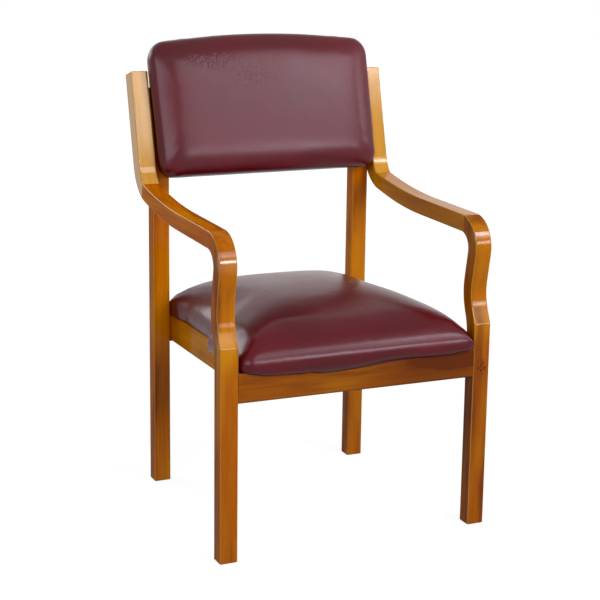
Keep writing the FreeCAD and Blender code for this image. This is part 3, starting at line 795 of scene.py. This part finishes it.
def make_seat_cushion():
    """Padded seat, wide between the front legs and narrow between the back legs."""
    piece = stuffed(
        "seat_cushion", ("seat_foam", "seat_board"), "seat_cover", seat_remesh_size,
        held=lambda point: 1.0 if point.z < seat_held_top else 0.0,
        crowned=lambda point: smoothstep(point.z, *seat_crown_heights),
        crown_passes=seat_crown_passes,
        evened=lambda point: step_in_width(point) * smoothstep(point.z, *seat_step_heights),
        even_passes=seat_step_passes,
    )
    front = min(vertex.co.y for vertex in piece.data.vertices)
    for vertex in piece.data.vertices:
        point = vertex.co
        proud = smoothstep(frame_front - point.y, *lip_ramp)
        hang_lip(point, proud, front)
        bulge_corner(point, proud)
        fill_rear(point)
        raise_dome(point)
    draw_to_dome(piece)
    even_out(piece, final_crown_passes, weigh(piece, "crown", final_crown))
    even_out(piece, final_lip_passes, weigh(piece, "lip", final_lip), 0.6)
    piece.vertex_groups.clear()
    even_out(piece, 4)
    lay_on_rails(piece)
    piece.data.materials.append(burgundy_vinyl("seat_vinyl"))
    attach(piece, "root")
    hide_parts("seat_cover", "seat_foam")


# Back cushion, in metres. Reaches are measured outwards from the front faces of the posts.
back_held_reach = -0.004
back_crown_reaches = (0.020, 0.038)
back_crown_passes = 24
back_half_width = 0.25
back_half_height = 0.15
back_tilt = math.radians(0.6)
back_bulge_reaches = (0.0005, 0.010)
back_side_bulge = 0.012
back_top_bulge = 0.010
back_taper = 0.008
back_dome = 0.0025
back_dome_reaches = (0.015, 0.032)
back_creases = (
    (Vector((-0.13, 0.19, 0.955)), Vector((0.10, 0.06, 0.035)), 0.55),
    (Vector((-0.03, 0.18, 0.925)), Vector((0.12, 0.06, 0.05)), 0.25),
)


def in_front_of_posts(point):
    """How far a point lies in front of the plane of the posts' front faces."""
    return (point - post_front_top).dot(back_outwards)


def make_back_cushion():
    """Padded back between the posts, arched along its top and hung a little askew."""
    piece = stuffed(
        "back_cushion", ("back_foam", "back_board"), "back_cover", back_remesh_size,
        held=lambda point: 1.0 if in_front_of_posts(point) < back_held_reach else 0.0,
        crowned=lambda point: smoothstep(in_front_of_posts(point), *back_crown_reaches),
        crown_passes=back_crown_passes,
    )
    low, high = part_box("back_cover")
    middle = (Vector(low) + Vector(high)) / 2
    hang = Matrix.Rotation(back_tilt, 3, back_outwards)
    rear = min(in_front_of_posts(vertex.co) for vertex in nodes["back_cover"].data.vertices)
    for vertex in piece.data.vertices:
        reach = in_front_of_posts(vertex.co)
        bulge = smoothstep(reach, *back_bulge_reaches)
        height = (vertex.co - middle).dot(leaning)
        across = max(1.0 - (vertex.co.x / back_half_width) ** 2, 0.0)
        dome = across * max(1.0 - (height / back_half_height) ** 2, 0.0)
        crown = back_dome * dome * smoothstep(reach, *back_dome_reaches)
        offset = hang @ (vertex.co - middle)
        offset.x *= 1.0 + (back_side_bulge + back_taper * height / back_half_height) * bulge
        offset += leaning * (offset.dot(leaning) * back_top_bulge * bulge)
        vertex.co = middle + offset + back_outwards * crown
        vertex.co += back_outwards * max(rear - in_front_of_posts(vertex.co), 0.0)
    piece.data.materials.append(burgundy_vinyl("back_vinyl", 0.36, 0.29, back_creases))
    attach(piece, "root")
    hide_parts("back_cover", "back_foam")


# Room, light and camera


def make_floor():
    """Pale floor that keeps the chair's shadow and meets a white room."""
    clear_selection()
    bpy.ops.mesh.primitive_plane_add(size=floor_size)
    floor = bpy.context.object
    floor.name = "floor"
    finish = Finish("pale_floor")
    across, deep, _ = finish.parts(finish.place())
    far = (across * across + deep * deep).root().step(*floor_glow_distances)
    finish.set(
        Base_Color=(0.20, 0.20, 0.20, 1.0),
        Roughness=1.0,
        Specular_IOR_Level=0.0,
        Emission_Color=finish.seen() * (floor_glow + far * floor_glow_rise),
        Emission_Strength=1.0,
    )
    floor.data.materials.append(finish.material)


def make_room():
    """White room for the eye, and a plain soft level of light for the chair."""
    world = bpy.data.worlds.new("room")
    bpy.context.scene.world = world
    world.use_nodes = True
    room = Tree(world.node_tree)
    levels = {"Value": room.seen(), "To Min": room_level, "To Max": seen_level}
    background = room.nodes["Background"]
    room.fill(background.inputs["Color"], (1.0, 1.0, 1.0, 1.0))
    room.fill(background.inputs["Strength"], room.node("ShaderNodeMapRange", {}, levels))


def make_lamp(name, place, aim, width, height, watts):
    """Soft box lamp at a place, turned to an aim."""
    lamp = bpy.data.lights.new(name, "AREA")
    lamp.shape = "RECTANGLE"
    lamp.size = width
    lamp.size_y = height
    lamp.energy = watts
    holder = bpy.data.objects.new(name, lamp)
    bpy.context.scene.collection.objects.link(holder)
    holder.location = place
    holder.rotation_euler = (Vector(aim) - Vector(place)).to_track_quat("-Z", "Y").to_euler()


def make_camera():
    """Camera at the photograph's place and angle."""
    forward = Vector((
        math.sin(camera_yaw) * math.cos(camera_pitch),
        math.cos(camera_yaw) * math.cos(camera_pitch),
        -math.sin(camera_pitch),
    ))
    level = Vector((math.cos(camera_yaw), -math.sin(camera_yaw), 0.0))
    raised = level.cross(forward)
    right = level * math.cos(camera_roll) + raised * math.sin(camera_roll)
    up = raised * math.cos(camera_roll) - level * math.sin(camera_roll)
    turn = Matrix((right, up, -forward)).transposed()
    lens = bpy.data.cameras.new("photographer")
    lens.lens = camera_lens
    lens.sensor_width = camera_sensor
    lens.shift_x = camera_shift_across
    lens.shift_y = camera_shift_up
    camera = bpy.data.objects.new("photographer", lens)
    bpy.context.scene.collection.objects.link(camera)
    camera.location = camera_place
    camera.rotation_euler = turn.to_euler()
    bpy.context.scene.camera = camera


finish_frame()
make_seat_cushion()
make_back_cushion()
make_floor()
make_room()
for lamp_name, settings in lamps.items():
    make_lamp(lamp_name, *settings)
make_camera()
bpy.context.scene.view_settings.view_transform = "Standard"
